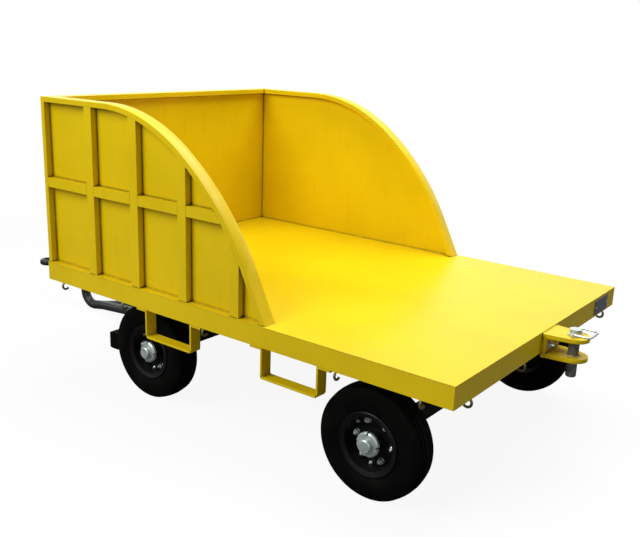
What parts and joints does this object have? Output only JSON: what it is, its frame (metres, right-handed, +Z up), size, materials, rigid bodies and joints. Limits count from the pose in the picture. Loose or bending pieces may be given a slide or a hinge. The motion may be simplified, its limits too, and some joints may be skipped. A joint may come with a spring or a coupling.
{
  "type": "baggage trailer",
  "caption": "Flat-deck towed baggage trailer with arched half-open walls, a steered front axle, a drawbar with tow eye and a rear pin hitch",
  "frame": {"origin": "on the ground, under the middle of the whole length (tow eye tip to the rear end of the hitch pin's handle) and of the width", "axes": "+X forwards to the tow eye, +Y to the left side, +Z up"},
  "size_m": [3.255, 1.4106, 1.235],
  "materials": {
    "yellow_paint": "gloss yellow paint",
    "black_paint": "satin black paint",
    "grey_paint": "satin dark grey paint",
    "rim_paint": "gloss black paint",
    "plated_steel": "zinc plated",
    "plate_grey": "matt dark grey",
    "block_rubber": "black rubber",
    "tyre": "black tyre rubber"
  },
  "bodies": {
    "chassis": {"deck_plate": "yellow_paint", "side_channel_left": "yellow_paint", "side_channel_right": "yellow_paint", "end_channel_front": "yellow_paint", "end_channel_rear": "yellow_paint", "side_bow_left": "yellow_paint", "side_bow_right": "yellow_paint", "side_ribs_left": "yellow_paint", "side_ribs_right": "yellow_paint", "side_rails_left": "yellow_paint", "side_rails_right": "yellow_paint", "side_sheet_left": "yellow_paint", "side_sheet_right": "yellow_paint", "headboard_top_bar": "yellow_paint", "headboard_ribs": "yellow_paint", "headboard_rails": "yellow_paint", "headboard_sheet": "yellow_paint", "side_steps_left": "yellow_paint", "side_steps_right": "yellow_paint", "hitch_plates": "yellow_paint", "hitch_back": "yellow_paint", "side_hooks_left": "black_paint", "side_hooks_right": "black_paint", "rear_hooks": "black_paint", "main_beams": "black_paint", "cross_members": "black_paint", "turntable_upper_race": "black_paint", "rear_axle": "black_paint", "rear_axle_stands": "black_paint", "rear_axle_caps": "plated_steel", "rear_plate": "plate_grey"},
    "hitch_pin": {"hitch_pin": "plated_steel", "hitch_pin_handle": "plated_steel"},
    "front_axle_unit": {"turntable_lower_race": "black_paint", "bolster_plate": "black_paint", "front_axle": "black_paint", "front_axle_stands": "black_paint", "front_axle_caps": "plated_steel", "drawbar_ears": "black_paint", "hinge_pins": "plated_steel", "brake_arms": "black_paint", "brake_blocks": "block_rubber"},
    "drawbar": {"drawbar_neck": "grey_paint", "drawbar_leg_left": "grey_paint", "drawbar_leg_right": "grey_paint", "tow_eye": "grey_paint"},
    "wheel_front_left": {"tyre_front_left": "tyre", "rim_front_left": "rim_paint", "hub_front_left": "plated_steel"},
    "wheel_front_right": {"tyre_front_right": "tyre", "rim_front_right": "rim_paint", "hub_front_right": "plated_steel"},
    "wheel_rear_left": {"tyre_rear_left": "tyre", "rim_rear_left": "rim_paint", "hub_rear_left": "plated_steel"},
    "wheel_rear_right": {"tyre_rear_right": "tyre", "rim_rear_right": "rim_paint", "hub_rear_right": "plated_steel"}
  },
  "joints": [
    {"name": "steering", "type": "hinge", "parent": "chassis", "child": "front_axle_unit", "pos_m": [0.0375, 0, 0.43], "axis": [0, 0, 1], "range_deg": [-50, 50]},
    {"name": "drawbar_lift", "type": "hinge", "parent": "front_axle_unit", "child": "drawbar", "pos_m": [0.1195, 0, 0.206], "axis": [0, -1, 0], "range_deg": [0, 25]},
    {"name": "hitch_pin_lift", "type": "slide", "parent": "chassis", "child": "hitch_pin", "axis": [0, 0, 1], "range_m": [0, 0.16]},
    {"name": "wheel_spin_front_left", "type": "hinge", "parent": "front_axle_unit", "child": "wheel_front_left", "pos_m": [0.0375, 0.534, 0.206], "axis": [0, 1, 0], "continuous": true},
    {"name": "wheel_spin_front_right", "type": "hinge", "parent": "front_axle_unit", "child": "wheel_front_right", "pos_m": [0.0375, -0.534, 0.206], "axis": [0, 1, 0], "continuous": true},
    {"name": "wheel_spin_rear_left", "type": "hinge", "parent": "chassis", "child": "wheel_rear_left", "pos_m": [-1.1305, 0.602, 0.206], "axis": [0, 1, 0], "continuous": true},
    {"name": "wheel_spin_rear_right", "type": "hinge", "parent": "chassis", "child": "wheel_rear_right", "pos_m": [-1.1305, -0.602, 0.206], "axis": [0, 1, 0], "continuous": true}
  ]
}
